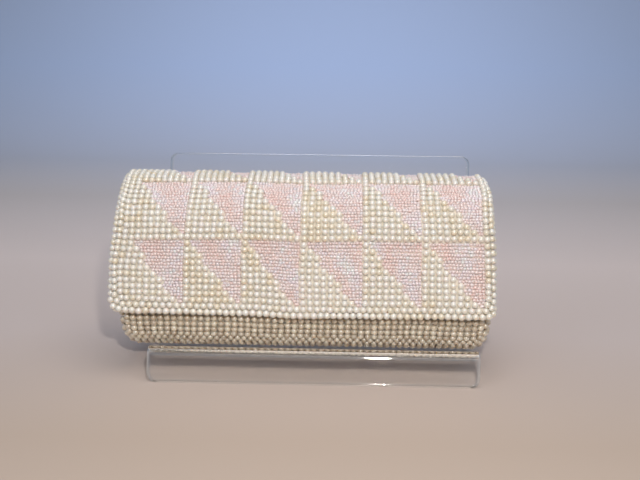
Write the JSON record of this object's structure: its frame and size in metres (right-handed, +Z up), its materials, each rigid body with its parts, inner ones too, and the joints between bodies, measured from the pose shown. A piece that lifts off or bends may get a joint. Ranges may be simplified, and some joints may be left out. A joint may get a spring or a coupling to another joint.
{
  "type": "pearl-beaded clutch bag on display stand",
  "caption": "Beaded evening clutch with a fold-over flap in pearl and pink bead patchwork, closed, leaning on a bent clear acrylic display stand.",
  "frame": {"origin": "on the surface the stand rests on, under the middle of the whole object's box", "axes": "+Z up, +X along the bag's length to its right end as seen from the front, front of the bag faces -Y"},
  "size_m": [0.24, 0.1072, 0.1247],
  "materials": {
    "faux_pearl": "nacreous ivory coating on round moulded beads",
    "seed_bead": "iridescent pale pink glass seed beads",
    "satin_fabric": "woven ivory satin",
    "snap_metal": "satin nickel plate",
    "clear_acrylic": "clear, bent by heat, with polished edges"
  },
  "bodies": {
    "root": {"pouch_cloth": "satin_fabric", "flap_cloth": "satin_fabric", "pouch_pearls": "faux_pearl", "flap_pearls": "faux_pearl", "flap_edge_pearls": "faux_pearl", "snap_clasp": "snap_metal", "display_stand": "clear_acrylic", "seed_panel_1_1": "seed_bead", "seed_panel_1_2": "seed_bead", "seed_panel_1_3": "seed_bead", "seed_panel_1_4": "seed_bead", "seed_panel_1_5": "seed_bead", "seed_panel_1_6": "seed_bead", "seed_panel_2_1": "seed_bead", "seed_panel_2_2": "seed_bead", "seed_panel_2_3": "seed_bead", "seed_panel_2_4": "seed_bead", "seed_panel_2_5": "seed_bead", "seed_panel_2_6": "seed_bead", "seed_panel_3_1": "seed_bead", "seed_panel_3_2": "seed_bead", "seed_panel_3_3": "seed_bead", "seed_panel_3_4": "seed_bead", "seed_panel_3_5": "seed_bead", "seed_panel_3_6": "seed_bead"}
  },
  "joints": []
}
